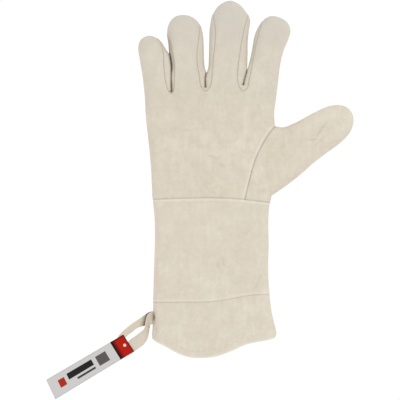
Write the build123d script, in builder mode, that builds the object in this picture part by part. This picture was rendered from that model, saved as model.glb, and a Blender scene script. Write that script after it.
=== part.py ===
from build123d import *

import os
from dataclasses import dataclass
from math import cos, radians, sin

# Heat resistant leather glove with a gauntlet cuff, lying on its palm with its back up.
#
# +Y runs to the fingertips, +X to the thumb and +Z out of the back of the hand. The origin is on the
# surface that the glove lies on, under the middle of the whole object. All sizes are in millimetres.
#
# Every leather panel is its own solid. A finger is its own body: it bends at a flex line just above the
# finger crotch, and the palm leather and the lining are open around that line to make room for the bend.

# Materials
LEATHER = 1.4
LINING = 1.2
EASE = 0.1  # air between the leather and the lining
THREAD = 0.7
CARD = 0.4

# Cross-section, the same from cuff to fingertip
HEIGHT = 17.0
EDGE_ROUND = 7.0
PALM_EDGE_Z = 5.0  # the side seam, where the palm leather stops
FOURCHETTE_WIDTH = 5.0  # seen from above, beside the back of a finger

# Flex lines
FLEX_Z = 7.5
FLEX_GAP = 0.3
FLEX_CLEAR_RADIUS = 9.7
FLEX_SIDE_CLEAR = 0.6

# Outline of the hand and cuff in plan view: corners, and the radius that rounds each one
LEFT_SIDE = [(-42.3, -86.0), (-40.2, -34.0), (-43.3, 8.0), (-50.2, 82.0)]
LEFT_RADII = [300, 150, 300, 300]
INDEX_SIDE = [(69.4, 86.0), (70.6, 67.8), (78.8, 67.8)]  # the second is in the thumb's crotch
INDEX_RADII = [80, 6, 12]
RIGHT_SIDE = [(65.2, 2.8), (63.4, -56.0), (66.6, -100.0)]
RIGHT_RADII = [14, 300, 100]
HEM_LEFT = (-44.0, -128.6)
HEM = [(-12.0, -146.8), (16.0, -146.8), (42.0, -132.6)]
HEM_RADII = [35, 35, 45]
HEM_RIGHT = (71.0, -125.6)
CROTCHES = [(-26.6, 101.5), (6.3, 103.0), (42.4, 104.0)]  # slit bottoms between the fingers

# Seams across the outline, running a little past it at both ends
WRIST_SEAM = [(-60.0, 1.1), (10.0, 3.6), (130.0, -5.8)]
WRIST_RADII = [400]
CUFF_SEAM = [(-60.0, -94.6), (8.0, -94.6), (56.0, -87.2), (130.0, -84.8)]
CUFF_RADII = [120, 100]
THUMB_SEAM = [(76.0, 75.5), (52.6, 42.0), (40.3, -6.0)]
THUMB_RADII = [110]
CROTCH_SEAM_DROP = 3.6  # from a slit's bottom down to the seam round it
CROTCH_BEND = -8.0  # along the finger from its flex line, where that seam turns in below the slit
BEYOND = 400.0  # further than the glove reaches

# Open ends
ROOT_MARGIN = 0.5  # edges nearer than this to a finger's flat root end stay sharp
OPEN_END = 4.0  # how far the insides are cut past the hem and the flex lines

# Hem
HEM_TURN = 9.0  # depth of bare leather inside the hem, below the lining
STITCH_LENGTH = 3.4
STITCH_PITCH = 5.2
STITCH_INSET = 6.5  # from the hem to its row of stitches
STITCH_SIDE_MARGIN = 9.0

# Hanging loop, one strip with both ends sewn into the side seam by the little finger
LOOP_END_X = -45.2  # where the strip hinges
SEWN_END_X = (-44.4, -42.0)
SEWN_END_Y = (-116.0, -103.4)
SEAM_Z = 5.5  # underside of the strip in the seam
LOOP_FLOOR_Z = 1.2  # underside of the strip in the card
LOOP_LEVEL_X = -58.0  # where the strip comes down to that height
LOOP_OUTLINE = [
    (-55.3, -106.8), (-72.0, -121.4), (-81.5, -134.0), (-79.5, -143.5),
    (-68.5, -145.2), (-57.0, -138.0), (-49.6, -129.0),
]
LOOP_OPENING = [
    (-50.8, -118.6), (-57.5, -117.6), (-66.4, -124.9), (-73.6, -132.6),
    (-73.6, -137.6), (-68.6, -138.6), (-63.5, -131.6), (-56.8, -126.2),
]

# Hang tag, a card folded at its far end, with the end of the loop between its leaves
TAG_CENTRE = (-102.2, -154.3)
TAG_ANGLE = 31.2  # degrees from +X
TAG_LENGTH = 83.6
TAG_WIDTH = 19.8
TAG_HEIGHT = 2.9
TAG_Z = 0.4  # the rivet's lower head is under it
RIVET_INSET = 4.0  # from the card's open end
RIVET_RADIUS = 1.2
RIVET_PLAY = 0.05
RIVET_HEAD_RADIUS = 1.7
RIVET_HEAD_HEIGHT = 0.6
RIVET_HEAD_ROUND = 0.48


@dataclass
class Finger:
    """A finger or the thumb, from its flex line to its tip, in plan view."""

    name: str
    root: tuple  # the middle of the flex line
    lean: float  # degrees from +Y towards +X
    length: float
    root_half: float
    tip_half: float
    fourchettes: tuple  # the sides that have one: -1 towards the little finger, 1 towards the thumb

    def plane(self, z=0.0):
        """Local X across the finger, local Y along it."""
        across = (cos(radians(self.lean)), -sin(radians(self.lean)), 0)
        return Plane(origin=(*self.root, z), x_dir=across, z_dir=(0, 0, 1))

    def shoulder(self):
        """Where the round tip begins, along the finger."""
        return self.length - self.tip_half

    def flare(self):
        """How fast the half-width grows along the finger."""
        return (self.tip_half - self.root_half) / self.shoulder()

    def corner(self, side, along=0.0, inset=0.0):
        """A point beside the flex line, in the glove's own coordinates."""
        point = self.plane().from_local_coords(Vector(side * (self.root_half - inset), along, 0))
        return (point.X, point.Y)


LITTLE = Finger("little", (-39.6, 112.5), -7.5, 41.5, 12.2, 12.0, (1,))
RING = Finger("ring", (-9.9, 113.5), -5.0, 59.0, 15.2, 16.2, (-1, 1))
MIDDLE = Finger("middle", (24.6, 114.5), 3.0, 70.3, 17.0, 18.0, (-1, 1))
INDEX = Finger("index", (58.0, 113.0), 10.5, 59.0, 14.2, 15.6, (-1,))
THUMB = Finger("thumb", (96.0, 52.0), 57.2, 54.2, 21.3, 15.6, ())
FINGERS = [LITTLE, RING, MIDDLE, INDEX]
DIGITS = [*FINGERS, THUMB]


def finger_block(finger, inset, start):
    """A finger's closed outer shape, inset all round, with a flat root end at start."""
    half_tip = finger.tip_half - inset
    half_start = finger.root_half - inset + finger.flare() * start
    with BuildPart() as block:
        with BuildSketch(finger.plane(inset)):
            with BuildLine():
                left = Line((-half_start, start), (-half_tip, finger.shoulder()))
                right = Line((half_tip, finger.shoulder()), (half_start, start))
                TangentArc(left @ 1, right @ 0, tangent=left % 1)
                Line(right @ 1, left @ 0)
            make_face()
        extrude(amount=HEIGHT - 2 * inset)
        faces = block.faces().sort_by(Axis.Z)
        rims = faces[0].edges() + faces[-1].edges()
        rims = [e for e in rims if finger.plane().to_local_coords(e.center()).Y > start + ROOT_MARGIN]
        fillet(rims, EDGE_ROUND - inset)
    return block.part


def finger_tube(finger, outside, inside):
    """A finger's wall between two insets, closed at the tip and open at the root."""
    with BuildPart() as tube:
        add(finger_block(finger, outside, FLEX_GAP))
        add(finger_block(finger, inside, -OPEN_END), mode=Mode.SUBTRACT)
    return tube.part


def finger_side_plane(finger, side):
    """The upright plane through the seam between a finger's back and its fourchette."""
    base = finger.plane()
    origin = base.from_local_coords(Vector(side * (finger.root_half - FOURCHETTE_WIDTH), 0, 0))
    along = base.from_local_coords(Vector(side * finger.flare(), 1, 0)) - base.origin
    normal = along.cross(Vector(0, 0, side))
    return Plane(origin=origin, x_dir=along, z_dir=normal)


def finger_panels(finger):
    """The leather of one finger: its palm, its back and a fourchette on each inner side."""
    leather = finger_tube(finger, 0, LEATHER)
    with BuildPart() as palm:
        add(leather)
        split(bisect_by=Plane.XY.offset(PALM_EDGE_Z), keep=Keep.BOTTOM)
    yield f"{finger.name}_palm", palm.part

    with BuildPart() as back:
        add(leather)
        split(bisect_by=Plane.XY.offset(PALM_EDGE_Z), keep=Keep.TOP)
        for side in finger.fourchettes:
            split(bisect_by=finger_side_plane(finger, side), keep=Keep.BOTTOM)
    yield f"{finger.name}_back", back.part

    for side in finger.fourchettes:
        with BuildPart() as fourchette:
            add(leather)
            split(bisect_by=Plane.XY.offset(PALM_EDGE_Z), keep=Keep.TOP)
            split(bisect_by=finger_side_plane(finger, side), keep=Keep.TOP)
        where = "inner" if side > 0 else "outer"
        yield f"{finger.name}_fourchette_{where}", fourchette.part


def finger_lining(finger):
    """The cotton tube inside one finger."""
    return finger_tube(finger, LEATHER + EASE, LEATHER + EASE + LINING)


def flex_clearance(finger):
    """What the root of a bending finger sweeps through, below its flex line."""
    across = Plane(origin=(*finger.root, FLEX_Z), x_dir=(0, 0, 1), z_dir=finger.plane().x_dir)
    with BuildPart() as swept:
        with BuildSketch(across):
            Circle(FLEX_CLEAR_RADIUS)
        extrude(amount=finger.root_half + FLEX_SIDE_CLEAR, both=True)
        split(bisect_by=Plane.XY.offset(FLEX_Z), keep=Keep.BOTTOM)
    return swept.part


def root_block(inset=0.0):
    """The hand, the base of the thumb and the cuff, from the flex lines to the hem.

    With an inset, the block is smaller all round, and runs out past the flex lines and the hem.
    """
    reach = OPEN_END + inset if inset else 0
    hem_left, *hem, hem_right = raised_hem(-reach)
    open_sides = ((LITTLE, -1), (INDEX, 1), (THUMB, -1), (THUMB, 1))
    run_outs = [(finger.corner(side), finger.corner(side, reach)) for finger, side in open_sides]
    run_outs += [(HEM_LEFT, hem_left), (HEM_RIGHT, hem_right)]
    with BuildPart() as block:
        with BuildSketch(Plane.XY.offset(inset)):
            with BuildLine():
                left = FilletPolyline(HEM_LEFT, *LEFT_SIDE, LITTLE.corner(-1), radius=LEFT_RADII)
                for finger, after, crotch in zip(FINGERS, FINGERS[1:], CROTCHES):
                    ends = (finger.corner(-1, reach), finger.corner(1, reach))
                    Polyline(*ends, crotch, after.corner(-1, reach))
                Line(INDEX.corner(-1, reach), INDEX.corner(1, reach))
                upper = FilletPolyline(INDEX.corner(1), *INDEX_SIDE, THUMB.corner(-1), radius=INDEX_RADII)
                Line(THUMB.corner(-1, reach), THUMB.corner(1, reach))
                right = FilletPolyline(THUMB.corner(1), *RIGHT_SIDE, HEM_RIGHT, radius=RIGHT_RADII)
                FilletPolyline(hem_left, *hem, hem_right, radius=HEM_RADII)
                if reach:
                    for start, end in run_outs:
                        Line(start, end)
            make_face()
            if inset:
                offset(amount=-inset, kind=Kind.INTERSECTION)
        extrude(amount=HEIGHT - 2 * inset)
        faces = block.faces().sort_by(Axis.Z)
        rims = faces[0].edges() + faces[-1].edges()
        fillet([e for e in rims if beside(e, (left, upper, right), inset + OPEN_END)], EDGE_ROUND - inset)
    return block.part


def beside(edge, curves, limit):
    """Whether the middle of an edge is within limit of one of the curves, in plan view."""
    middle = edge @ 0.5
    return any(curve.distance_to(Vector(middle.X, middle.Y, 0)) < limit for curve in curves)


def root_shell(outside, inside):
    """The root's wall between two insets, open at the hem and at every finger's flex line."""
    with BuildPart() as shell:
        add(root_block())
        if outside:
            add(root_block(outside), mode=Mode.INTERSECT)
        add(root_block(inside), mode=Mode.SUBTRACT)
        for finger in DIGITS:
            add(flex_clearance(finger), mode=Mode.SUBTRACT)
    return shell.part


def raised_hem(rise):
    """The corners of the hem's outline, moved up towards the wrist."""
    return [(x, y + rise) for x, y in [HEM_LEFT, *HEM, HEM_RIGHT]]


def area_beside(seam, radii, reach):
    """An upright block with a seam as one side, running from it in the direction of reach."""
    with BuildPart() as block:
        with BuildSketch(Plane.XY.offset(-OPEN_END)):
            with BuildLine():
                line = FilletPolyline(*seam, radius=radii)
                Polyline(line @ 1, line @ 1 + Vector(reach), line @ 0 + Vector(reach), line @ 0)
            make_face()
        extrude(amount=HEIGHT + 2 * OPEN_END)
    return block.part


def crotch_area(finger, after, crotch):
    """An upright block over the fourchette round the bottom of one slit."""
    seam_bottom = (crotch[0], crotch[1] - CROTCH_SEAM_DROP)
    with BuildPart() as block:
        with BuildSketch(Plane.XY.offset(-OPEN_END)):
            with BuildLine():
                first = finger.corner(1, OPEN_END, FOURCHETTE_WIDTH)
                last = after.corner(-1, OPEN_END, FOURCHETTE_WIDTH)
                Polyline(first, finger.corner(1, CROTCH_BEND, FOURCHETTE_WIDTH), seam_bottom)
                Polyline(seam_bottom, after.corner(-1, CROTCH_BEND, FOURCHETTE_WIDTH), last, first)
            make_face()
        extrude(amount=HEIGHT + 2 * OPEN_END)
    return block.part


def root_panels():
    """The leather of the hand, the base of the thumb and the cuff."""
    above_wrist = area_beside(WRIST_SEAM, WRIST_RADII, (0, BEYOND))
    above_cuff_seam = area_beside(CUFF_SEAM, CUFF_RADII, (0, BEYOND))
    thumb_side = area_beside(THUMB_SEAM, THUMB_RADII, (BEYOND, 0))
    crotch_areas = [crotch_area(*slit) for slit in zip(FINGERS, FINGERS[1:], CROTCHES)]
    leather = root_shell(0, LEATHER)

    with BuildPart() as hand:
        add(leather)
        add(above_wrist, mode=Mode.INTERSECT)
        add(thumb_side, mode=Mode.SUBTRACT)
    with BuildPart() as thumb_base:
        add(leather)
        add(above_wrist, mode=Mode.INTERSECT)
        add(thumb_side, mode=Mode.INTERSECT)
    with BuildPart() as cuff_upper:
        add(leather)
        add(above_wrist, mode=Mode.SUBTRACT)
        add(above_cuff_seam, mode=Mode.INTERSECT)
    with BuildPart() as cuff_lower:
        add(leather)
        add(above_cuff_seam, mode=Mode.SUBTRACT)

    halves = {"hand": hand, "thumb_base": thumb_base, "cuff_upper": cuff_upper, "cuff_lower": cuff_lower}
    for name, whole in halves.items():
        with BuildPart() as palm:
            add(whole.part)
            split(bisect_by=Plane.XY.offset(PALM_EDGE_Z), keep=Keep.BOTTOM)
        yield f"{name}_palm", palm.part
        with BuildPart() as back:
            add(whole.part)
            split(bisect_by=Plane.XY.offset(PALM_EDGE_Z), keep=Keep.TOP)
            if name == "hand":
                for area in crotch_areas:
                    add(area, mode=Mode.SUBTRACT)
            if name == "cuff_lower":
                add(loop_sewn_ends(), mode=Mode.SUBTRACT)
        yield f"{name}_back", back.part

    for place, area in zip(("outer", "middle", "inner"), crotch_areas):
        with BuildPart() as crotch:
            add(hand.part)
            split(bisect_by=Plane.XY.offset(PALM_EDGE_Z), keep=Keep.TOP)
            add(area, mode=Mode.INTERSECT)
        yield f"crotch_fourchette_{place}", crotch.part


def root_linings():
    """The cotton inside the hand and inside the cuff, which stops above the turned hem."""
    above_wrist = area_beside(WRIST_SEAM, WRIST_RADII, (0, BEYOND))
    lining_end = area_beside(raised_hem(HEM_TURN), HEM_RADII, (0, -BEYOND))
    outside = LEATHER + EASE
    cotton = root_shell(outside, outside + LINING)
    with BuildPart() as hand:
        add(cotton)
        add(above_wrist, mode=Mode.INTERSECT)
    yield "hand_lining", hand.part
    with BuildPart() as cuff:
        add(cotton)
        add(above_wrist, mode=Mode.SUBTRACT)
        add(lining_end, mode=Mode.SUBTRACT)
    yield "cuff_lining", cuff.part


def loop_sewn_ends():
    """The two ends of the hanging loop, together in the side seam."""
    low = (SEWN_END_X[0], SEWN_END_Y[0])
    high = (SEWN_END_X[1], SEWN_END_Y[1])
    with BuildPart() as ends:
        with BuildSketch(Plane.XY.offset(SEAM_Z)):
            with Locations(((low[0] + high[0]) / 2, (low[1] + high[1]) / 2)):
                Rectangle(high[0] - low[0], high[1] - low[1])
        extrude(amount=LEATHER)
    return ends.part


def loop_strip():
    """The hanging loop from its hinge at the seam round the inside of the card and back."""
    start = [(LOOP_END_X, y) for y in SEWN_END_Y]
    with BuildPart() as strip:
        with BuildSketch():
            with BuildLine():
                Spline(start[1], *LOOP_OUTLINE, start[0])
                Line(start[0], start[1])
            make_face()
            with BuildLine():
                Spline(*LOOP_OPENING, periodic=True)
            make_face(mode=Mode.SUBTRACT)
        extrude(amount=HEIGHT)
        with BuildSketch(Plane.XZ.offset(BEYOND / 2)):
            with BuildLine():
                Polyline(
                    (-BEYOND, LOOP_FLOOR_Z), (LOOP_LEVEL_X, LOOP_FLOOR_Z), (LOOP_END_X, SEAM_Z),
                    (LOOP_END_X, SEAM_Z + LEATHER), (LOOP_LEVEL_X, LOOP_FLOOR_Z + LEATHER),
                    (-BEYOND, LOOP_FLOOR_Z + LEATHER), close=True,
                )
            make_face()
        extrude(amount=-BEYOND, mode=Mode.INTERSECT)
    return strip.part


def tag_plane(z=0.0):
    """Local X runs from the card's folded end to its open end."""
    return Plane(origin=(*TAG_CENTRE, z)).rotated((0, 0, TAG_ANGLE))


def tag_card():
    """A strip of card folded in two at its far end, punched for the rivet."""
    side = Plane(origin=(*TAG_CENTRE, TAG_Z), x_dir=tag_plane().x_dir, z_dir=-tag_plane().y_dir)
    with BuildPart() as card:
        with BuildSketch(side):
            with BuildLine():
                fold = TAG_HEIGHT / 2
                open_end = TAG_LENGTH / 2
                Line((open_end, 0), (fold - open_end, 0))
                ThreePointArc((fold - open_end, 0), (-open_end, fold), (fold - open_end, TAG_HEIGHT))
                Line((fold - open_end, TAG_HEIGHT), (open_end, TAG_HEIGHT))
                Line((open_end, TAG_HEIGHT), (open_end, TAG_HEIGHT - CARD))
                Line((open_end, TAG_HEIGHT - CARD), (fold - open_end, TAG_HEIGHT - CARD))
                ThreePointArc(
                    (fold - open_end, TAG_HEIGHT - CARD), (CARD - open_end, fold), (fold - open_end, CARD)
                )
                Line((fold - open_end, CARD), (open_end, CARD))
                Line((open_end, CARD), (open_end, 0))
            make_face()
        extrude(amount=TAG_WIDTH / 2, both=True)
        with BuildSketch(tag_plane()):
            with Locations((TAG_LENGTH / 2 - RIVET_INSET, 0)):
                Circle(RIVET_RADIUS + RIVET_PLAY)
        extrude(amount=HEIGHT, mode=Mode.SUBTRACT)
    return card.part


def tag_rivet():
    """The rivet that closes the card through the end of the loop."""
    card_top = TAG_Z + TAG_HEIGHT
    profile = Plane(origin=tag_plane().from_local_coords(Vector(TAG_LENGTH / 2 - RIVET_INSET, 0, 0)))
    with BuildPart() as rivet:
        with BuildSketch(profile):
            Circle(RIVET_HEAD_RADIUS)
        extrude(amount=TAG_Z)
        with BuildSketch(profile):
            Circle(RIVET_RADIUS)
        extrude(amount=card_top)
        with BuildSketch(profile.offset(card_top)):
            Circle(RIVET_HEAD_RADIUS)
        extrude(amount=RIVET_HEAD_HEIGHT)
        fillet(rivet.edges().filter_by(GeomType.CIRCLE).group_by(Axis.Z)[-1], RIVET_HEAD_ROUND)
    return rivet.part


def hem_stitching():
    """One row of stitches on the back of the cuff, along the hem."""
    with BuildLine():
        line = FilletPolyline(*raised_hem(STITCH_INSET), radius=HEM_RADII)
    count = int((line.length - 2 * STITCH_SIDE_MARGIN) / STITCH_PITCH)
    first = (line.length - (count - 1) * STITCH_PITCH) / 2
    with BuildPart() as stitches:
        for i in range(count):
            spot = line.location_at((first + i * STITCH_PITCH) / line.length)
            heading = line.tangent_at((first + i * STITCH_PITCH) / line.length)
            place = Plane(origin=(spot.position.X, spot.position.Y, HEIGHT), x_dir=heading, z_dir=(0, 0, 1))
            with BuildSketch(place):
                SlotOverall(STITCH_LENGTH, THREAD)
            extrude(amount=THREAD / 2)
    return stitches.part


def save(name, part):
    part.label = name
    export_step(part, f"parts/{name}.step")


def main():
    os.makedirs("parts", exist_ok=True)
    for name, panel in root_panels():
        save(name, panel)
    for name, lining in root_linings():
        save(name, lining)
    for finger in DIGITS:
        for name, panel in finger_panels(finger):
            save(name, panel)
        save(f"{finger.name}_lining", finger_lining(finger))
    save("hem_stitching", hem_stitching())
    save("loop_sewn_ends", loop_sewn_ends())
    save("loop_strip", loop_strip())
    save("tag_card", tag_card())
    save("tag_rivet", tag_rivet())


main()
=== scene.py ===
"""Heat resistant leather glove, lying on its palm: the looks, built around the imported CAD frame.

The leather is cut into panels in plan view, by the outline and the seams. Each panel is then raised to the
puffed shape of the glove, sunk where it turns into a seam, and given the leather's thickness.
Plan points are in millimetres, in the glove's own frame: +Y to the fingertips and +X to the thumb.
"""

import math

import bpy
import numpy as np
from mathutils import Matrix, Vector, noise
from mathutils.geometry import delaunay_2d_cdt


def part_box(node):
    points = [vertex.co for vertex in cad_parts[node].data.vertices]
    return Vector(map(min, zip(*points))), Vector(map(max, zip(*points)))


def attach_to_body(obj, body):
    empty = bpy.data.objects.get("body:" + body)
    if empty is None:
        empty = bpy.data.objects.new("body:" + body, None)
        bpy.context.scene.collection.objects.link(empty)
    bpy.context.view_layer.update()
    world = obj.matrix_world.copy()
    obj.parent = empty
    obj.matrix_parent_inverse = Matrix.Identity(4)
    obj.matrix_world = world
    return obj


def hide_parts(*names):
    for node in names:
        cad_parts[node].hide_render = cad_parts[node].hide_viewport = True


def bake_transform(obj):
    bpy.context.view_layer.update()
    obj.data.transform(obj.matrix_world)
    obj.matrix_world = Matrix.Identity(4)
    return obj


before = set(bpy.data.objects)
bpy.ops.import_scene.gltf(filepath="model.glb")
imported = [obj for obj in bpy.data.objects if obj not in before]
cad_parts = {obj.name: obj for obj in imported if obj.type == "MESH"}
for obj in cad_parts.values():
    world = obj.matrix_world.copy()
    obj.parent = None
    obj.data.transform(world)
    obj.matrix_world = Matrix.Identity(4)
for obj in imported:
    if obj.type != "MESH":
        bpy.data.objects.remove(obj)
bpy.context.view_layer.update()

MM = 0.001

# ---------------------------------------------------------------- sizes, in millimetres

LEATHER = 1.4
LINING = 1.2
LINING_DEPTH = 3.3  # from the leather's outer face to the lining's, clear of the sunken seams
LINING_FROM_HEM = 9.0
CARD = 0.4
HEIGHT = 16.8
SIDE_SEAM_Z = 5.8
MEETING_Z = 12.2  # where two fingers touch
FULL_SIDE = 3.0  # how much higher a side with a fourchette is
BACK_EDGE = 9.5  # how far in from the outline the back is rounded
PALM_EDGE = 7.0
SLIT_GAP = 0.1
SEAM_ROLL = 1.7  # how far to either side the leather turns down into a seam
FOURCHETTE_SEAM_DEPTH, FOURCHETTE_SEAM_ROLL = 1.0, 1.6
PALM_SEAM_DEPTH, PALM_SEAM_ROLL = 0.9, 1.8
SWELL = 0.35  # the rise of the leather beside a seam
HEM_LINE = 8.4  # from the hem's edge to the line where it is sewn
STEP = 1.6  # spacing of the points along an edge or a seam
GRID = 2.7  # spacing of the points inside a panel
CLOSEST = 0.02  # points nearer to each other than this are one
CREASE_ROWS = (-2.6, -1.5, -0.8, -0.3, 0.3, 0.8, 1.5, 2.6)  # distances from a crease to its rows of points
RINGS = (0.2, 0.6, 1.2, 2.0, 3.2, 4.8, 7.0)  # distances from an edge or seam to the rows of points beside it

# The outline, clockwise from the hem's left corner. A slit is where two fingers touch, from its top down.
LEFT_SIDE = [
    (-44.5, -128.2), (-43.8, -107), (-43.4, -83), (-42.8, -62), (-42.1, -36), (-42.4, -16), (-44.1, 2),
    (-46.0, 35), (-48.3, 58), (-50.5, 78), (-51.5, 97), (-53.5, 115), (-56.1, 131), (-57.5, 142),
    (-55.7, 148.8), (-50.6, 152.6), (-44.5, 153.1), (-39.3, 150.7), (-36.0, 147.7), (-33.1, 143.3),
    (-30.9, 139.6), (-28.6, 136.5),
]
SLIT_1 = [(-28.6, 136.5), (-27.9, 132.5), (-27.2, 128.5), (-26.7, 122), (-26.6, 112), (-26.4, 101.4)]
RING_SIDES = [
    (-28.5, 136.5), (-28.8, 140), (-29.3, 146), (-30.6, 154.4), (-30.3, 159.8), (-28.2, 165.8),
    (-23.1, 171.1), (-15.8, 172.8), (-8.7, 171.5), (-2.9, 167.7), (0.9, 162.0), (2.9, 154), (3.6, 146),
    (3.8, 138), (4.0, 130), (4.7, 123.4), (6.2, 118.6),
]
SLIT_2 = [(6.2, 118.6), (5.2, 115.2), (5.0, 111), (5.3, 105.4)]
MIDDLE_SIDES = [
    (6.3, 118.6), (7.8, 123), (8.4, 131), (8.6, 139), (8.8, 148), (9.5, 162), (12.4, 174.1), (19.2, 182.6),
    (28.2, 186.0), (35.8, 183.3), (42.3, 176.5), (46.6, 168.9), (45.6, 158), (44.5, 146), (44.4, 136),
    (44.2, 128), (44.0, 121.4),
]
SLIT_3 = [(44.0, 121.4), (42.9, 117.6), (41.6, 113), (40.4, 107.6)]
INDEX_SIDES = [
    (44.1, 121.4), (46.2, 128.8), (48.2, 138), (49.4, 145), (51.3, 154.2), (55.6, 163.3), (60.4, 169.1),
    (66.2, 171.7), (74.6, 170.2), (81.9, 165.3), (84.5, 158.7), (82.3, 149), (78.7, 140.6), (75.4, 128),
    (73.1, 110.6), (71.2, 95), (69.4, 80), (70.2, 69.0),
]
THUMB_SIDES = [
    (70.2, 69.0), (77.8, 68.3), (86.6, 71.6), (105.5, 81.5), (119.5, 87.7), (128.6, 89.1), (137.2, 86.6),
    (142.4, 80.2), (143.1, 72.4), (140.5, 64.1), (131.4, 53.9), (117.1, 43.2), (105.4, 34.1), (94.3, 24.3),
    (82.8, 15.1), (67.0, 4.2),
]
RIGHT_SIDE = [
    (67.0, 4.2), (65.2, -4), (64.0, -20), (64.4, -40), (63.9, -60), (64.2, -74), (65.6, -92), (67.0, -103),
    (69.2, -113), (71.0, -120), (71.1, -125), (69.6, -128.0),
]
HEM = [
    (69.6, -128.0), (64.5, -129.5), (57.4, -130.8), (44.5, -133.4), (29.5, -139.9), (16.5, -144.6),
    (2, -146.4), (-10.6, -145.5), (-22.8, -140.8), (-34.3, -134.5), (-41.4, -130.9), (-44.5, -128.2),
]

# The seams across the back, which the palm repeats
WRIST_SEAM = [(-43.6, 1.6), (-10, 2.2), (22, 2.2), (42, 0.8), (66.2, -1.6)]
CUFF_SEAM = [(-43.2, -94.4), (-14, -94.6), (12, -94.0), (28, -91.6), (45.5, -88.4), (66.2, -86.6)]
THUMB_SEAM = [(70.4, 69.0), (64.9, 62.8), (58.6, 52.8), (54.0, 43.6), (50.1, 33.4), (46.4, 19.5), (42.0, 1.4)]
FOURCHETTES = [
    [
        (-38.8, 151.2), (-36.0, 146), (-34.0, 138.5), (-33.6, 129.5), (-32.6, 117), (-31.0, 107.4),
        (-29.0, 102.4), (-26.6, 99.4), (-24.8, 103), (-24.1, 109), (-23.8, 118), (-24.1, 127), (-25.3, 135),
        (-27.2, 144), (-29.9, 154),
    ],
    [
        (1.3, 162.6), (-0.3, 153), (-1.8, 143), (-2.4, 133), (-1.9, 124), (-0.5, 115.8), (0.1, 110),
        (2.0, 104.6), (5.4, 101.4), (8.7, 104.6), (10.6, 110), (11.3, 118.6), (11.7, 129.7), (12.8, 139),
        (14.0, 150), (14.0, 160), (12.3, 172.6),
    ],
    [
        (44.3, 172.4), (42.2, 162), (39.9, 152), (37.8, 139.4), (36.0, 128), (35.0, 119), (35.4, 110),
        (37.4, 104.2), (40.6, 101.4), (43.6, 104), (45.4, 110.4), (47.0, 118), (48.6, 129), (50.6, 140.4),
        (53.2, 151), (57.2, 166),
    ],
]
FINGER_START = [(-51.0, 98.4), SLIT_1[-1], SLIT_2[-1], SLIT_3[-1], (71.4, 98.6)]

# Where each finger bends: its root, its lean from +Y towards +X, and how far below the root the bend starts
BENDS = {
    "little": ((-39.6, 112.5), -7.5, 12.2),
    "ring": ((-9.9, 113.5), -5.0, 8.9),
    "middle": ((24.6, 114.5), 3.0, 6.0),
    "index": ((58.0, 113.0), 10.5, 8.4),
    "thumb": ((96.0, 52.0), 57.2, 12.0),
}

# A point inside each panel
PANELS = {
    "cuff_lower": (10, -120), "cuff_upper": (10, -45), "hand": (0, 50), "thumb": (100, 50),
    "little": (-45, 125), "ring": (-12, 140), "middle": (26, 140), "index": (62, 140),
    "crotch_fourchette_outer": (-26.6, 100.8), "little_fourchette_inner": (-29.8, 120),
    "ring_fourchette_outer": (-25.5, 118), "crotch_fourchette_middle": (5.3, 103.4),
    "ring_fourchette_inner": (1.5, 124), "middle_fourchette_outer": (9.5, 122),
    "crotch_fourchette_inner": (40.6, 104), "middle_fourchette_inner": (39.5, 122),
    "index_fourchette_outer": (46.1, 122.5),
}

# Creases in the leather of the back: points along each, its depth and its half width
CREASES = [
    ([(119.4, 74.6), (114.4, 68.2), (109.6, 61.4), (107.2, 57.6)], 0.7, 0.9),
    ([(97.0, 56.6), (103.4, 56.2), (110.6, 56.6)], 0.55, 0.8),
    ([(116.0, 59.6), (110.8, 55.0), (105.4, 50.2)], 0.4, 0.9),
    ([(76.8, 62.4), (78.2, 55.0), (77.4, 47.2)], 0.3, 1.2),
    ([(17.4, -53.2), (16.2, -59.0), (19.4, -65.0)], 0.5, 0.9),
    ([(21.0, -50.6), (22.4, -60.0), (29.6, -64.8)], 0.45, 0.9),
    ([(57.4, -65.4), (54.4, -75.0), (50.6, -84.0)], 0.5, 0.9),
    ([(31.0, -48.8), (35.8, -46.6), (40.8, -43.0)], 0.35, 0.9),
    ([(-22.0, -43.2), (-14.0, -47.6), (-5.8, -50.8)], 0.3, 1.0),
    ([(-16.4, -16.4), (-14.0, -13.6), (-11.4, -11.4)], 0.35, 0.9),
    ([(16.0, 36.2), (19.6, 33.2), (23.0, 29.0)], 0.45, 0.8),
    ([(10.4, 30.4), (11.6, 27.2), (12.2, 23.4)], 0.4, 0.8),
    ([(-8.8, 35.2), (-7.2, 32.0), (-6.4, 28.0)], 0.35, 0.9),
    ([(5.0, 41.6), (12.0, 40.4), (19.2, 37.6)], 0.35, 0.8),
    ([(26.4, 44.4), (31.0, 42.0), (35.2, 40.4)], 0.3, 0.8),
    ([(-21.0, 66.0), (-12.0, 64.8), (-2.0, 66.6), (7.2, 65.4)], 0.25, 0.9),
    ([(-40.8, -114.0), (-41.0, -120.6), (-40.0, -127.0)], 0.6, 1.6),
]


# ---------------------------------------------------------------- plan geometry


def curve(points, step=STEP):
    """Evenly spaced points along a smooth line through the given ones, in two or three dimensions."""
    p = np.array(points, float)
    chord = np.concatenate([[0], np.cumsum(np.linalg.norm(np.diff(p, axis=0), axis=1))])
    slope = np.gradient(p, chord, axis=0)
    fine = []
    for i in range(len(p) - 1):
        h = chord[i + 1] - chord[i]
        t = np.linspace(0, 1, 24, endpoint=False)[:, None]
        fine.append(
            (1 + 2 * t) * (1 - t) ** 2 * p[i] + t * (1 - t) ** 2 * h * slope[i]
            + t * t * (3 - 2 * t) * p[i + 1] + t * t * (t - 1) * h * slope[i + 1]
        )
    fine = np.vstack(fine + [p[-1:]])
    along = np.concatenate([[0], np.cumsum(np.linalg.norm(np.diff(fine, axis=0), axis=1))])
    even = np.linspace(0, along[-1], max(int(round(along[-1] / step)), 3) + 1)
    return np.column_stack([np.interp(even, along, fine[:, k]) for k in range(p.shape[1])])


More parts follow.
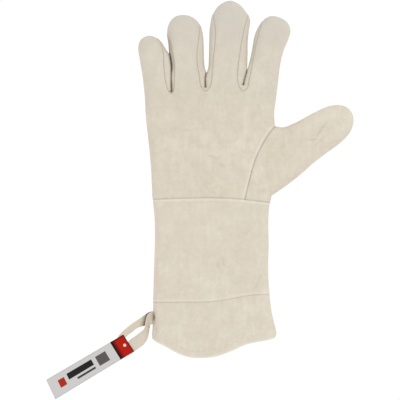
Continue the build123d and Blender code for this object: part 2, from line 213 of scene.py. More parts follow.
def nearest(lines, point):
    """The point of the lines that is nearest to the given one."""
    every = np.vstack(lines)
    return every[np.argmin(np.linalg.norm(every - np.array(point, float), axis=1))]


def ending_on(points, lines):
    """The same line, with both ends moved onto the nearest points of other lines."""
    return curve([nearest(lines, points[0]), *points[1:-1], nearest(lines, points[-1])])


def distance(points, line, signed=False):
    """How far each point is from a line; with signed, below 0 on the line's right."""
    out = np.empty(len(points))
    a, ab = line[:-1], np.diff(line, axis=0)
    length2 = (ab**2).sum(1)
    for i in range(0, len(points), 4000):
        ap = points[i : i + 4000, None, :] - a[None]
        t = np.clip((ap * ab).sum(2) / length2, 0, 1)
        away = ap - t[..., None] * ab
        d = np.linalg.norm(away, axis=2)
        best = d.argmin(1)
        rows = np.arange(len(best))
        out[i : i + 4000] = d[rows, best]
        if signed:
            side = ab[best, 0] * away[rows, best, 1] - ab[best, 1] * away[rows, best, 0]
            out[i : i + 4000] *= np.where(side < 0, -1, 1)
    return out


def inside(points, loop):
    """Which points lie inside a closed loop."""
    x, y = points[:, :1], points[:, 1:]
    a, b = loop, np.roll(loop, -1, axis=0)
    crosses = (a[:, 1] > y) != (b[:, 1] > y)
    rise = np.where(b[:, 1] == a[:, 1], 1e-12, b[:, 1] - a[:, 1])
    at = a[:, 0] + (y - a[:, 1]) * (b[:, 0] - a[:, 0]) / rise
    return (crosses & (x < at)).sum(1) % 2 == 1


def smoothstep(low, high, value):
    t = np.clip((value - low) / (high - low), 0, 1)
    return t * t * (3 - 2 * t)


def clearance(points, lines):
    """How far each point is from the nearest of several lines."""
    return np.min([distance(points, line) for line in lines], axis=0)


def across(line):
    """At each point of a line, the way to its left, as long as the line's step."""
    along = np.gradient(line, axis=0)
    return np.column_stack([-along[:, 1], along[:, 0]])


def slit(points):
    """Both edges of a slit: down its left side and back up its right, from one shared bottom."""
    down = curve(points)
    up = down[::-1] + np.array([SLIT_GAP, 0.0])
    up[0] = down[-1]
    return [down, up]


slits = [slit(points) for points in (SLIT_1, SLIT_2, SLIT_3)]
sides = [
    curve(LEFT_SIDE), *slits[0], curve(RING_SIDES), *slits[1], curve(MIDDLE_SIDES), *slits[2],
    curve(INDEX_SIDES), curve(THUMB_SIDES), curve(RIGHT_SIDE),
]
hem = curve(HEM)
outline = np.vstack([s[:-1] for s in [*sides, hem]])
wrist = ending_on(WRIST_SEAM, sides)
cuff = ending_on(CUFF_SEAM, sides)
thumb_seam = ending_on(THUMB_SEAM, [*sides, wrist])
fourchettes = [ending_on(f, sides) for f in FOURCHETTES]
start = [nearest(sides, p) for p in FINGER_START]
starts = [curve([a, b]) for a, b in zip(start, start[1:])]
seams = [wrist, cuff, thumb_seam, *fourchettes]
lines = [*sides, hem, *seams, *starts]
creases = [(curve(points, 1.0), depth, width) for points, depth, width in CREASES]


def triangulate():
    """Plan points, triangles and each triangle's panel."""
    rows = []
    for line in lines:
        away = across(line)
        away /= np.linalg.norm(away, axis=1)[:, None]
        for ring in RINGS:
            for side in (1, -1):
                row = line + side * ring * away
                rows.append(row[clearance(row, lines) > 0.93 * ring])
    for line, _, _ in creases:
        for offset in CREASE_ROWS:
            row = line + offset * across(line)
            rows.append(row[clearance(row, lines) > 1.0])
    low, high = outline.min(0), outline.max(0)
    xs = np.arange(low[0], high[0], GRID)
    ys = np.arange(low[1], high[1], GRID * 0.866)
    grid = np.array([(x + (j % 2) * GRID / 2, y) for j, y in enumerate(ys) for x in xs])
    clear = clearance(grid, lines) > RINGS[-1] + 0.6 * GRID
    clear &= clearance(grid, [line for line, _, _ in creases]) > CREASE_ROWS[-1] + 0.7
    rows.append(grid[clear])
    loose = np.vstack(rows)
    loose = loose[inside(loose, outline)]
    points, edges = [], []
    for line in lines:
        first = len(points)
        points += [tuple(p) for p in line]
        edges += [(i, i + 1) for i in range(first, len(points) - 1)]
    points += [tuple(p) for p in loose]
    verts, made_edges, faces, _, edge_from, _ = delaunay_2d_cdt(
        [Vector(p) for p in points], edges, [], 0, CLOSEST, True
    )
    plan = np.array([tuple(v) for v in verts])
    faces = np.array(faces)
    cut = {tuple(sorted(e)) for e, source in zip(made_edges, edge_from) if source}

    # triangles with no seam between them belong together
    owner = list(range(len(faces)))

    def find(i):
        while owner[i] != i:
            owner[i] = owner[owner[i]]
            i = owner[i]
        return i

    seen = {}
    for i, face in enumerate(faces):
        for a, b in ((0, 1), (1, 2), (2, 0)):
            edge = tuple(sorted((int(face[a]), int(face[b]))))
            if edge in cut:
                continue
            if edge in seen:
                owner[find(i)] = find(seen[edge])
            else:
                seen[edge] = i
    group = np.array([find(i) for i in range(len(faces))])
    a, b, c = (plan[faces[:, k]] for k in range(3))

    def turn(p, q, r):
        return (q[:, 0] - p[:, 0]) * (r[:, 1] - p[:, 1]) - (q[:, 1] - p[:, 1]) * (r[:, 0] - p[:, 0])

    panel = np.full(len(faces), -1)
    for number, (name, seed) in enumerate(PANELS.items()):
        s = np.tile(np.array(seed, float), (len(faces), 1))
        holds = (turn(a, b, s) >= 0) & (turn(b, c, s) >= 0) & (turn(c, a, s) >= 0)
        mine = group == group[np.argmax(holds)]
        if not holds.any() or (panel[mine] >= 0).any():
            raise RuntimeError(f"panel {name} is not closed by its seams")
        panel[mine] = number
    keep = panel >= 0
    return plan, faces[keep], panel[keep]


plan, triangles, panel_of = triangulate()
used = np.unique(triangles)
renumber = np.full(len(plan), -1)
renumber[used] = np.arange(len(used))
plan, triangles = plan[used], renumber[triangles]
count = len(plan)


# ---------------------------------------------------------------- the glove's surface

edge_distance = clearance(plan, sides)
hem_distance = distance(plan, hem)
slit_distance = clearance(plan, [edge for pair in slits for edge in pair])
back_edge = BACK_EDGE * (1 - 0.5 * np.exp(-((slit_distance / 7) ** 2)))

# Two fingers that touch meet higher than the side seam, and the sides with a fourchette are fuller. The ring
# finger's side of the first slit stays low, behind the little finger.
rim = np.vstack(sides)
rim = rim[clearance(rim, fourchettes) < 6.5]
rim_distance = np.min([np.linalg.norm(plan - p, axis=1) for p in rim], axis=0)
ring_panels = [list(PANELS).index(name) for name in ("ring", "ring_fourchette_outer")]
behind = np.zeros(count, bool)
behind[np.unique(triangles[np.isin(panel_of, ring_panels)])] = True
behind &= plan[:, 0] < -12
hidden = behind * smoothstep(116, 124, plan[:, 1]) * smoothstep(165, 150, plan[:, 1])
side_z = SIDE_SEAM_Z + FULL_SIDE * np.exp(-((rim_distance / 8) ** 2)) * (1 - hidden)
side_z += (MEETING_Z - side_z) * smoothstep(8, 0, slit_distance) * (1 - hidden)


def rounded(d, width):
    """0 at an edge, rising in a quarter circle to 1 at the given distance from it."""
    return np.sqrt(1 - (1 - np.clip(d / width, 0, 1)) ** 2)


def roll(d, width):
    """1 on a seam, falling in a quarter circle to 0 at the given distance from it."""
    return 1 - rounded(np.abs(d), width)


def crease_fade(line, reach):
    """0 at a crease's ends, rising to 1 at the given distance from them."""
    ends = np.minimum(np.linalg.norm(plan - line[0], axis=1), np.linalg.norm(plan - line[-1], axis=1))
    return smoothstep(0, reach, ends)


def bump(d, centre, width):
    return np.exp(-(((d - centre) / width) ** 2))


def noise_field(size, seed):
    """Smooth noise from about -1 to 1 at every plan point."""
    return np.array([noise.noise(Vector((x / size, y / size, seed))) for x, y in plan])


def back_relief():
    """How far the back's leather stands out from the puffed shape."""
    off = np.zeros(count)
    for seam, depth in ((wrist, 0.8), (cuff, 0.6), (thumb_seam, 0.9)):
        d = distance(plan, seam, signed=True)
        off -= depth * roll(d, SEAM_ROLL)
        off += SWELL * bump(d, 2 * SEAM_ROLL, 2.2)
    for seam in fourchettes:
        off -= FOURCHETTE_SEAM_DEPTH * roll(distance(plan, seam), FOURCHETTE_SEAM_ROLL)
    off += SWELL * smoothstep(HEM_LINE, HEM_LINE - 1.2, hem_distance)
    off -= 0.45 * bump(hem_distance, HEM_LINE, 0.8)
    for line, depth, width in creases:
        d = distance(plan, line, signed=True)
        fade = crease_fade(line, 4)
        off -= depth * bump(d, 0, width) * fade
        off += 0.5 * depth * bump(d, 1.8 * width, 1.1 * width) * fade
    soft = 0.9 * noise_field(38, 3.1) + 0.45 * noise_field(15, 8.7) + 0.18 * noise_field(6.5, 1.9)
    return off + soft * smoothstep(0, 12, edge_distance + 3)


# The puffed glove's back and palm, before its seams and wrinkles
back_z = side_z + (HEIGHT - side_z) * rounded(edge_distance, back_edge)
palm_z = side_z * (1 - rounded(edge_distance, PALM_EDGE))


def points_and_normals(back, palm, back_off, palm_off):
    """Both surfaces, moved along the normals of their joined shape by the given distances."""
    v = np.vstack([np.column_stack([plan, back]), np.column_stack([plan, palm])])
    faces = np.vstack([triangles, triangles[:, ::-1] + count])
    n = normals_of(v, faces)
    off = np.concatenate([back_off, palm_off])
    v = v + n * off[:, None]
    return v, normals_of(v, faces)


on_edge = edge_distance < 1e-3


def normals_of(v, faces):
    """Vertex normals, shared by back and palm where they meet at the outline."""
    a, b, c = (v[faces[:, k]] for k in range(3))
    area = np.cross(b - a, c - a)
    n = np.zeros_like(v)
    for k in range(3):
        np.add.at(n, faces[:, k], area)
    both = n[:count] + n[count:]
    both[:, 2] *= 0.3
    shared = on_edge & (slit_distance > 0.5)
    n[:count][shared] = both[shared]
    n[count:][shared] = both[shared]
    return n / np.maximum(np.linalg.norm(n, axis=1), 1e-12)[:, None]


palm_relief = np.zeros(count)
for seam in seams:
    palm_relief -= PALM_SEAM_DEPTH * roll(distance(plan, seam), PALM_SEAM_ROLL)
fourchette_faces = np.array(["fourchette" in name for name in PANELS])[panel_of]
in_fourchette = np.zeros(count, bool)
in_fourchette[np.unique(triangles[fourchette_faces])] = True
# drawn in a little where back and palm are sewn together at the side
cusp = np.where(in_fourchette, 0.0, 0.25 * roll(edge_distance, 1.2))
outer, outer_n = points_and_normals(
    back_z, palm_z, back_relief() * (~on_edge) - cusp, palm_relief * (~on_edge) - cusp
)
plain, plain_n = points_and_normals(back_z, palm_z, np.zeros(count), np.zeros(count))

# ---------------------------------------------------------------- building the pieces


def body_of(name):
    return next((finger for finger in BENDS if name.startswith(finger)), "hand")


palm_faces = triangles[:, ::-1] + count
# for a piece that runs round the outline, the palm's points there are the back's
weld = np.arange(2 * count)
weld[count:][on_edge] = np.arange(count)[on_edge]


def both_sides(mine):
    """The faces of the back and of the palm as one surface."""
    return weld[np.vstack([triangles[mine], palm_faces[mine]])]


def new_object(name, verts, faces):
    mesh = bpy.data.meshes.new(name)
    mesh.from_pydata(verts, [], faces)
    mesh.shade_smooth()
    obj = bpy.data.objects.new(name, mesh)
    bpy.context.scene.collection.objects.link(obj)
    return obj


def shell(name, vertices, normals, faces, thickness):
    """A piece of leather or cloth: its outer face, its inner face and the rim between them.

    Also gives the vertex that each of its points comes from.
    """
    index = np.unique(faces)
    local = np.full(len(vertices), -1)
    local[index] = np.arange(len(index))
    faces = local[faces]
    v, n = vertices[index], normals[index]
    k = len(v)
    inner = v - n * thickness
    pairs = {}
    for face in faces:
        for i in range(3):
            a, b = int(face[i]), int(face[(i + 1) % 3])
            if (b, a) in pairs:
                del pairs[(b, a)]
            else:
                pairs[(a, b)] = True
    rim = sorted({p for pair in pairs for p in pair})
    rim_at = {p: i for i, p in enumerate(rim)}
    r = len(rim)
    every = np.vstack([v, inner, v[rim], inner[rim]]) * MM
    polygons = [tuple(f) for f in faces.tolist()]
    polygons += [(c + k, b + k, a + k) for a, b, c in faces.tolist()]
    polygons += [
        (2 * k + rim_at[b], 2 * k + rim_at[a], 2 * k + r + rim_at[a], 2 * k + r + rim_at[b])
        for a, b in pairs
    ]
    obj = new_object(name, every.tolist(), polygons)
    mesh = obj.data
    uv = mesh.uv_layers.new(name="plan")
    loop_vertex = np.zeros(len(mesh.loops), np.int32)
    mesh.loops.foreach_get("vertex_index", loop_vertex)
    uv.data.foreach_set("uv", (every[loop_vertex, :2] * 1000 / 400 + 0.5).astype(np.float32).ravel())
    zero = np.zeros((2 * r, 3))
    mesh.normals_split_custom_set_from_vertices(np.vstack([n, -n, zero]).tolist())
    return obj, np.concatenate([index, index, index[rim], index[rim]])


def store(obj, name, values):
    attribute = obj.data.attributes.new(name, "FLOAT", "POINT")
    attribute.data.foreach_set("value", np.asarray(values, np.float32))


def attach(obj, body):
    """Fastens a piece to the hand; a piece of any other body only has its transform applied to its mesh."""
    if body == "hand":
        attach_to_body(obj, "hand")
        return
    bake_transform(obj)


def node_tree(name):
    material = bpy.data.materials.new(name)
    material.use_nodes = True
    return material, material.node_tree.nodes, material.node_tree.links


def noise_node(nodes, links, vector, scale, detail=2.0, rough=0.5):
    node = nodes.new("ShaderNodeTexNoise")
    node.inputs["Scale"].default_value = scale
    node.inputs["Detail"].default_value = detail
    node.inputs["Roughness"].default_value = rough
    links.new(vector, node.inputs["Vector"])
    return node.outputs["Fac"]


def mapped(nodes, links, value, low, high, to_low, to_high):
    node = nodes.new("ShaderNodeMapRange")
    for socket, number in zip(node.inputs[1:5], (low, high, to_low, to_high)):
        socket.default_value = number
    links.new(value, node.inputs[0])
    return node.outputs[0]


def mixed(nodes, links, share, first, second, how="MIX"):
    node = nodes.new("ShaderNodeMix")
    node.data_type, node.blend_type = "RGBA", how
    for socket, value in ((node.inputs[0], share), (node.inputs[6], first), (node.inputs[7], second)):
        if isinstance(value, (int, float)):
            socket.default_value = value
        elif isinstance(value, tuple):
            socket.default_value = (*value, 1)
        else:
            links.new(value, socket)
    return node.outputs[2]


def attribute_node(nodes, name):
    node = nodes.new("ShaderNodeAttribute")
    node.attribute_name = name
    return node.outputs["Fac"]


def arithmetic(nodes, links, how, first, second):
    node = nodes.new("ShaderNodeMath")
    node.operation = how
    links.new(first, node.inputs[0])
    links.new(second, node.inputs[1])
    return node.outputs[0]


def suede():
    """Cream split leather: short nap, cloudy mottling, greyer fingertips, painted shade in the seams and
    creases and painted highlights beside them.
    """
    material, nodes, links = node_tree("split_leather")
    shader = nodes["Principled BSDF"]
    uv = nodes.new("ShaderNodeUVMap")
    uv.uv_map = "plan"
    at = uv.outputs[0]
    cloud = mapped(nodes, links, noise_node(nodes, links, at, 9), 0.3, 0.7, 0, 1)
    colour = mixed(nodes, links, cloud, (0.700, 0.628, 0.508), (0.800, 0.737, 0.622))
    drawn_out = nodes.new("ShaderNodeMapping")
    drawn_out.inputs["Scale"].default_value = (1, 0.22, 1)
    links.new(at, drawn_out.inputs["Vector"])
    # patches, blotches, grain and streaks: where, scale, detail, from, to, share at most and colour
    for where, scale, detail, low, high, share, tone in (
        (at, 34, 3, 0.36, 0.66, 0.8, (0.665, 0.592, 0.472)),
        (at, 95, 2, 0.34, 0.66, 0.38, (0.84, 0.785, 0.675)),
        (at, 260, 2, 0.30, 0.70, 0.22, (0.60, 0.535, 0.430)),
        (drawn_out.outputs[0], 90, 2, 0.35, 0.7, 0.5, (0.655, 0.590, 0.480)),
    ):
        amount = mapped(nodes, links, noise_node(nodes, links, where, scale, detail), low, high, 0, share)
        colour = mixed(nodes, links, amount, colour, tone)
    # pinker edges, greyer fingertips, and painted highlights with the paler hem
    for name, tone in (
        ("pink", (0.72, 0.60, 0.52)), ("grey", (0.640, 0.600, 0.530)), ("painted_highlight_and_pale", (0.84, 0.80, 0.71)),
    ):
        colour = mixed(nodes, links, attribute_node(nodes, name), colour, tone)
    # the attribute seam holds painted shade: brown in the seams, slits and creases, near black where it is
    # deepest
    dark = attribute_node(nodes, "seam")
    colour = mixed(nodes, links, dark, colour, (0.30, 0.20, 0.13))
    deepest_shade = mapped(nodes, links, dark, 0.55, 0.92, 0, 0.9)
    colour = mixed(nodes, links, deepest_shade, colour, (0.045, 0.030, 0.022))
    links.new(colour, shader.inputs["Base Color"])
    shader.inputs["Roughness"].default_value = 0.95
    shader.inputs["Specular IOR Level"].default_value = 0.15
    nap = noise_node(nodes, links, at, 520, 3, 0.7)
    pebble = noise_node(nodes, links, at, 120, 3, 0.6)
    bumped = nodes.new("ShaderNodeBump")
    bumped.inputs["Strength"].default_value = 0.35
    bumped.inputs["Distance"].default_value = 0.0006
    links.new(arithmetic(nodes, links, "ADD", nap, pebble), bumped.inputs["Height"])
    links.new(bumped.outputs[0], shader.inputs["Normal"])
    return material


def plain_material(name, colour, roughness=0.8):
    material, nodes, _ = node_tree(name)
    shader = nodes["Principled BSDF"]
    shader.inputs["Base Color"].default_value = (*colour, 1)
    shader.inputs["Roughness"].default_value = roughness
    shader.inputs["Specular IOR Level"].default_value = 0.3
    return material


leather = suede()
cotton = plain_material("cotton_lining", (0.74, 0.70, 0.60), 0.95)

# Painted shade in the seams, slits and creases, a painted shadow beside the little finger, and painted shade
# where the loop goes into the side
painted_shade = 0.10 * bump(clearance(plan, seams), 0, 0.7)
painted_shade += 0.10 * bump(distance(plan, thumb_seam), 0, 0.8)
slit_depth = smoothstep(114, 107, plan[:, 1])
painted_shade += (0.85 + 0.25 * slit_depth) * bump(slit_distance, 0, 0.55 + 0.13 * slit_depth)
shade = smoothstep(118, 130, plan[:, 1]) * smoothstep(158, 144, plan[:, 1])
painted_shade += 0.42 * behind * shade * bump(edge_distance, 0, 2.8)
for line, depth, _ in creases:
    painted_shade += 0.22 * depth * bump(distance(plan, line), 0, 0.7) * crease_fade(line, 5)
entry = ((plan[:, 0] + 42.5) / 1.25) ** 2 + ((plan[:, 1] + 108.8) / 5.2) ** 2
painted_shade = np.clip(painted_shade + 0.9 * np.exp(-entry), 0, 0.95)

# Pinker along the cuff's left side, at every edge and in one patch of the cuff; greyer towards the fingertips
pink_edge = 0.25 * smoothstep(5.5, 3.5, distance(plan, sides[0])) * smoothstep(4, -4, plan[:, 1])
pink_edge += 0.25 * smoothstep(4, 0, edge_distance)
pink_edge += 0.3 * np.exp(-(((plan[:, 0] + 16) / 20) ** 2 + ((plan[:, 1] + 36) / 16) ** 2))
tip_grey = 0.3 * smoothstep(60, 120, plan[:, 1]) + 0.5 * smoothstep(125, 175, plan[:, 1])
tip_grey *= smoothstep(100, 85, plan[:, 0])

# Painted highlights on the rolls beside the seams, paler at the hem, and a little paler over the cuff and
# towards the thumb
painted_highlight_and_pale = 0.6 * bump(distance(plan, wrist, signed=True), -1.5, 0.8)
painted_highlight_and_pale += 0.6 * bump(distance(plan, thumb_seam, signed=True), -1.9, 0.9)
painted_highlight_and_pale += 0.4 * bump(distance(plan, cuff, signed=True), 1.7, 0.9)
painted_highlight_and_pale += 0.5 * smoothstep(2.2, 0.6, hem_distance)
painted_highlight_and_pale = np.clip(painted_highlight_and_pale + 0.12 * smoothstep(4, -6, plan[:, 1]) + 0.10 * smoothstep(75, 100, plan[:, 0]), 0, 1)


def finish_leather(obj, source, body, nodes):
    # the attribute seam holds the painted shade
    for name, values in (("seam", painted_shade), ("pink", pink_edge), ("grey", tip_grey), ("painted_highlight_and_pale", painted_highlight_and_pale)):
        store(obj, name, values[source % count])
    obj.data.materials.append(leather)
    attach(obj, body)
    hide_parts(*nodes)


for number, name in enumerate(PANELS):
    mine = panel_of == number
    if "fourchette" in name:
        obj, source = shell(f"leather_{name}", outer, outer_n, both_sides(mine), LEATHER)
        finish_leather(obj, source, body_of(name), [name])
        continue
    for side, faces in (("back", triangles[mine]), ("palm", palm_faces[mine])):
        obj, source = shell(f"leather_{name}_{side}", outer, outer_n, faces, LEATHER)
        stands_for = [f"{name}_{side}"] + ([f"thumb_base_{side}"] if name == "thumb" else [])
        finish_leather(obj, source, body_of(name), stands_for)

# The lining, in one sleeve for each body
SLEEVES = {
    "cuff_lining": ("cuff_lower", "cuff_upper"),
    "hand_lining": ("hand", "crotch_fourchette_outer", "crotch_fourchette_middle", "crotch_fourchette_inner"),
    "little_lining": ("little", "little_fourchette_inner"),
    "ring_lining": ("ring", "ring_fourchette_outer", "ring_fourchette_inner"),
    "middle_lining": ("middle", "middle_fourchette_outer", "middle_fourchette_inner"),
    "index_lining": ("index", "index_fourchette_outer"),
    "thumb_lining": ("thumb",),
}
sunk = plain - plain_n * LINING_DEPTH
names = list(PANELS)
for name, parts in SLEEVES.items():
    mine = np.isin(panel_of, [names.index(p) for p in parts])
    if name == "cuff_lining":
        mine &= hem_distance[triangles].min(1) > LINING_FROM_HEM
    obj, _ = shell(name + "_cloth", sunk, plain_n, both_sides(mine), LINING)
    obj.data.materials.append(cotton)
    attach(obj, body_of(name))
    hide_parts(name)

# ---------------------------------------------------------------- hanging loop

# Edges of the strip, (outer x, y, z, inner x, y, z): out along the upper leg, round inside the tag, and back
STRIP = [
    (-42.6, -103.0, 6.4, -42.6, -114.8, 6.4),
    (-47.2, -103.9, 6.0, -46.8, -115.4, 5.6),
    (-52.1, -107.2, 4.8, -51.2, -116.4, 4.4),
    (-56.7, -110.3, 3.9, -55.3, -117.6, 3.6),
    (-61.9, -113.8, 3.2, -59.4, -119.6, 3.0),
    (-67.8, -118.3, 2.4, -63.0, -122.6, 2.3),
    (-72.7, -122.7, 2.0, -67.5, -126.0, 2.0),
    (-77.2, -129.0, 1.85, -71.2, -130.4, 1.85),
    (-79.0, -136.0, 1.85, -72.6, -135.0, 1.85),
    (-75.6, -142.2, 1.85, -71.8, -137.4, 1.85),
    (-67.8, -143.0, 1.85, -68.4, -134.8, 1.85),
    (-60.1, -139.9, 1.85, -65.0, -129.6, 1.9),
    (-56.2, -137.3, 2.1, -61.1, -126.9, 2.2),
    (-52.2, -134.0, 2.6, -56.5, -123.5, 4.0),
    (-49.3, -129.4, 3.2, -52.8, -120.6, 6.8),
    (-48.1, -124.4, 3.8, -51.0, -117.8, 9.4),
    (-47.2, -119.6, 4.8, -50.2, -114.0, 10.8),
    (-46.5, -116.4, 6.2, -49.2, -109.2, 10.8),
    (-45.2, -115.3, 7.6, -47.6, -105.2, 10.0),
    (-42.6, -115.0, 8.0, -43.6, -103.4, 8.4),
]


def ribbon(name, sections, thickness, columns=7):
    """A strip with the given edges, its thickness centred on them."""
    path = curve(sections, STEP)
    a, b = path[:, :3], path[:, 3:]
    s = np.linspace(0, 1, columns)
    surface = a[:, None, :] + (b - a)[:, None, :] * s[None, :, None]
    rows = len(path)
    along = np.gradient(surface, axis=0)
    side = np.gradient(surface, axis=1)
    n = np.cross(side, along)
    n /= np.linalg.norm(n, axis=2)[..., None]
    top = (surface + n * thickness / 2).reshape(-1, 3)
    faces = []
    for i in range(rows - 1):
        for j in range(columns - 1):
            p = i * columns + j
            faces += [(p, p + columns, p + 1), (p + 1, p + columns, p + columns + 1)]
    faces = np.array(faces)
    flat = np.cross(top[faces[0, 1]] - top[faces[0, 0]], top[faces[0, 2]] - top[faces[0, 0]])
    if flat @ n.reshape(-1, 3)[faces[0, 0]] < 0:
        faces = faces[:, ::-1]
    return shell(name, top, n.reshape(-1, 3), faces, thickness)


loop, source = ribbon("hanging_loop", STRIP, LEATHER)
loop_v = np.array([v.co for v in loop.data.vertices]) / MM
# The upper leg gets a painted shadow beside the edge of the leg that crosses over it, and the strip painted
# shade where it goes into the side
beside_leg = loop_v[:, 0] + 48.6 - 0.265 * (loop_v[:, 1] + 106.5)
low_leg = (loop_v[:, 2] < 7) & (loop_v[:, 1] > -118) & (loop_v[:, 0] > -60)
root_shade = 0.8 * low_leg * bump(np.minimum(beside_leg + 0.4, 0), 0, 2.7)
root_shade = np.maximum(root_shade, 0.5 * smoothstep(-44.6, -43.2, loop_v[:, 0]))
none = np.zeros(len(loop_v))
for attribute, values in (("seam", root_shade), ("pink", none + 0.2), ("grey", none), ("painted_highlight_and_pale", none)):
    store(loop, attribute, values)
loop.data.materials.append(leather)
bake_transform(loop)
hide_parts("loop_strip", "loop_sewn_ends")

# ---------------------------------------------------------------- hang tag

TAG_CORNERS = [(-71.3, -124.9), (-61.0, -140.6), (-134.3, -185.0), (-142.8, -166.9)]
TAG_LENGTH = 83.4
TAG_TOP = 3.1
TAG_FOOT = 0.45
TAG_BOW = 0.25  # how much higher the upper leaf is half way along


def tag_point(s, t, z):
    """A point of the card: s runs from the loop's end to the far end, and t across it."""
    a, b, c, d = (np.array(p) for p in TAG_CORNERS)
    near, far = a + (b - a) * t, d + (c - d) * t
    xy = near + (far - near) * s
    return (*(xy * MM), z * MM)


def tag_card():
    """One folded card: a leaf above the strip, a leaf below it, and the fold at the far end."""
    columns = 10
    mid, radius = (TAG_TOP + TAG_FOOT) / 2, (TAG_TOP - TAG_FOOT) / 2
    reach = 1 - radius / TAG_LENGTH
    path = [(s * reach, TAG_TOP + TAG_BOW * math.sin(math.pi * s)) for s in np.linspace(0, 1, 60)]
    path += [
        (reach + radius / TAG_LENGTH * math.sin(a), mid + radius * math.cos(a))
        for a in np.linspace(math.pi / 6, math.pi * 5 / 6, 5)
    ]
    path += [(s * reach, TAG_FOOT) for s in np.linspace(1, 0, 12)]
    verts, faces, uvs = [], [], []
    for s, z in path:
        for j in range(columns + 1):
            verts.append(tag_point(s, j / columns, z))
            uvs.append((s, j / columns))
    row = columns + 1
    for i in range(len(path) - 1):
        for j in range(columns):
            p = i * row + j
            faces.append((p, p + 1, p + row + 1, p + row))
    obj = new_object("hang_tag", verts, faces)
    layer = obj.data.uv_layers.new(name="card")
    for corner in obj.data.loops:
        layer.data[corner.index].uv = uvs[corner.vertex_index]
    thick = obj.modifiers.new("thickness", "SOLIDIFY")
    thick.thickness = CARD * MM
    thick.offset = 0
    bpy.context.view_layer.update()
    made = bpy.data.meshes.new_from_object(obj.evaluated_get(bpy.context.evaluated_depsgraph_get()))
    obj.modifiers.clear()
    obj.data = made
    made.shade_smooth()
    return obj


def bars(nodes, links, u, low, high):
    """1 where low < u < high, else 0, with a narrow soft edge."""
    soft = 0.002
    rise = mapped(nodes, links, u, low - soft, low + soft, 0, 1)
    fall = mapped(nodes, links, u, high - soft, high + soft, 1, 0)
    return arithmetic(nodes, links, "MULTIPLY", rise, fall)


def card_material():
    """Pale card, with a red band that shades to black, and plain bars in place of its print."""
    material, nodes, links = node_tree("tag_card")
    shader = nodes["Principled BSDF"]
    uv = nodes.new("ShaderNodeUVMap")
    uv.uv_map = "card"
    split = nodes.new("ShaderNodeSeparateXYZ")
    links.new(uv.outputs[0], split.inputs[0])
    u, v = split.outputs[0], split.outputs[1]
    band_end, dark_start, dark_end = 0.171, 0.105, 0.155
    dark = mapped(nodes, links, u, dark_start, dark_end, 0, 1)
    band = mixed(nodes, links, dark, (0.47, 0.014, 0.006), (0.012, 0.006, 0.006))
    for direction, solid_to, gone_at in ((u, 0.008, 0.017), (v, 0.035, 0.09)):
        border = mapped(nodes, links, direction, solid_to, gone_at, 0.85, 0)
        band = mixed(nodes, links, border, band, (0.05, 0.004, 0.003))
    white = (0.62, 0.61, 0.60)
    colour = mixed(nodes, links, bars(nodes, links, u, -1, band_end), white, band)
    # each bar from and to along the card, from and to across it, and its colour
    print_bars = (
        (0.27, 0.40, 0.24, 0.74, (0.11, 0.10, 0.10)),
        (0.45, 0.77, 0.24, 0.54, (0.02, 0.02, 0.02)),
        (0.45, 0.68, 0.64, 0.74, (0.06, 0.06, 0.06)),
        (0.81, 0.89, 0.30, 0.68, (0.42, 0.03, 0.015)),
    )
    for u0, u1, v0, v1, tone in print_bars:
        along, over = bars(nodes, links, u, u0, u1), bars(nodes, links, v, v0, v1)
        mask = arithmetic(nodes, links, "MULTIPLY", along, over)
        colour = mixed(nodes, links, mask, colour, tone)
    links.new(colour, shader.inputs["Base Color"])
    shader.inputs["Roughness"].default_value = 0.6
    shader.inputs["Specular IOR Level"].default_value = 0.05
    return material


tag = tag_card()
tag.data.materials.append(card_material())
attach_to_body(tag, "tag")
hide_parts("tag_card")

# ---------------------------------------------------------------- rivet and stitches

thread = plain_material("sewing_thread", (0.70, 0.64, 0.54), 0.9)
metal = plain_material("tag_rivet", (0.80, 0.72, 0.62), 0.45)

RIVET_TOP, RIVET_FOOT = 4.05, 0.02
# Radius and height of each ring of the rivet, from its head down
RIVET_RINGS = [(0.8, 3.98), (1.3, 3.75), (1.55, 3.42), (1.1, 3.3), (1.1, 0.5), (1.55, 0.4), (1.4, 0.08)]
SPOKES = 24


def rivet_shape(x, y):
    """A closed round piece, with one point at its top and one at its foot."""
    verts = [(x, y, RIVET_TOP * MM)]
    for radius, z in RIVET_RINGS:
        for i in range(SPOKES):
            angle = 2 * math.pi * i / SPOKES
            verts.append((x + radius * MM * math.cos(angle), y + radius * MM * math.sin(angle), z * MM))
    verts.append((x, y, RIVET_FOOT * MM))
    faces = []
    for i in range(SPOKES):
        here = [1 + j * SPOKES + i for j in range(len(RIVET_RINGS))]
        beside = [1 + j * SPOKES + (i + 1) % SPOKES for j in range(len(RIVET_RINGS))]
        faces.append((0, here[0], beside[0]))
        faces += [(here[j], here[j + 1], beside[j + 1], beside[j]) for j in range(len(RIVET_RINGS) - 1)]
        faces.append((here[-1], len(verts) - 1, beside[-1]))
    return verts, faces


low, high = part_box("tag_rivet")
middle = (low + high) / 2
rivet = new_object("rivet", *rivet_shape(middle.x, middle.y))
rivet.data.materials.append(metal)
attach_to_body(rivet, "tag")
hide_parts("tag_rivet")

# Each stitch is a small closed pad, sunk half way into the leather. A section has its place along the
# stitch, its half width and its height.
STITCH_SPACING = 5.2
STITCH_FROM_HEM = 6.5
STITCH_SECTIONS = ((-1.7, 0.1, 0.0), (-1.2, 0.34, 0.16), (1.2, 0.34, 0.16), (1.7, 0.1, 0.0))
STITCH_SUNK = -0.2


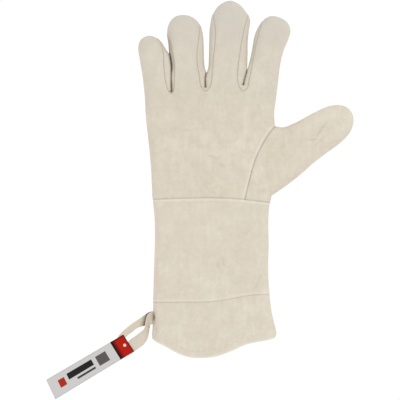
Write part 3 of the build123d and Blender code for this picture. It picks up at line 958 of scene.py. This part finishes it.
def stitch_row():
    """One row of stitches along the hem's back."""
    verts, faces = [], []
    row = curve([(x, y + STITCH_FROM_HEM) for x, y in HEM], STITCH_SPACING)[2:-2]
    back_points = outer[:count]
    for p, q in zip(row, row[1:]):
        way = (q - p) / np.linalg.norm(q - p)
        side = np.array([-way[1], way[0]])
        near = np.argsort(np.linalg.norm(back_points[:, :2] - p, axis=1))[:4]
        z = back_points[near, 2].mean()
        first = len(verts)
        for along, width, rise in STITCH_SECTIONS:
            for share, lift in ((-1, STITCH_SUNK), (-0.5, rise), (0.5, rise), (1, STITCH_SUNK)):
                xy = p + way * along + side * share * width
                verts.append((*(xy * MM), (z + lift) * MM))
        for i in range(3):
            for j in range(4):
                a, b = first + i * 4 + j, first + i * 4 + (j + 1) % 4
                faces.append((a, a + 4, b + 4, b))
        faces.append((first, first + 1, first + 2, first + 3))
        faces.append((first + 15, first + 14, first + 13, first + 12))
    return verts, faces


stitches = new_object("hem_stitches", *stitch_row())
stitches.data.materials.append(thread)
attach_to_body(stitches, "hand")
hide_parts("hem_stitching")

# ---------------------------------------------------------------- stage


def emission(name, strength):
    material, nodes, links = node_tree(name)
    nodes.remove(nodes["Principled BSDF"])
    node = nodes.new("ShaderNodeEmission")
    node.inputs["Strength"].default_value = strength
    links.new(node.outputs[0], nodes["Material Output"].inputs["Surface"])
    return material


FLOOR_Z = -75  # low enough that the fingers stay above it when they bend
PAPER_GLOW = 1.02
WORLD_GLOW = 0.91
CAMERA_PLACE = (0.0002, 0.0004, 6.0)
LENS = 580

bpy.ops.mesh.primitive_plane_add(size=6)
floor = bpy.context.active_object
floor.name = "floor"
floor.location.z = FLOOR_Z * MM
floor.data.materials.append(emission("paper_white", PAPER_GLOW))

world = bpy.data.worlds.new("studio")
bpy.context.scene.world = world
world.use_nodes = True
world.node_tree.nodes["Background"].inputs["Color"].default_value = (1, 1, 1, 1)
world.node_tree.nodes["Background"].inputs["Strength"].default_value = WORLD_GLOW


def area_light(name, place, size, power):
    data = bpy.data.lights.new(name, "AREA")
    data.shape, data.size, data.energy = "DISK", size, power
    lamp = bpy.data.objects.new(name, data)
    bpy.context.scene.collection.objects.link(lamp)
    lamp.location = place
    lamp.rotation_mode = "QUATERNION"
    lamp.rotation_quaternion = (-Vector(place)).to_track_quat("-Z", "Y")


area_light("key", (1.3, 0.6, 1.4), 0.8, 4.7)
area_light("fill", (-1.4, 0.2, 1.3), 0.8, 1.3)

camera_data = bpy.data.cameras.new("camera")
camera_data.sensor_width = 36
camera_data.lens = LENS
camera = bpy.data.objects.new("camera", camera_data)
bpy.context.scene.collection.objects.link(camera)
camera.location = CAMERA_PLACE
camera_data.clip_end = 20
bpy.context.scene.camera = camera
bpy.context.scene.view_settings.view_transform = "Standard"
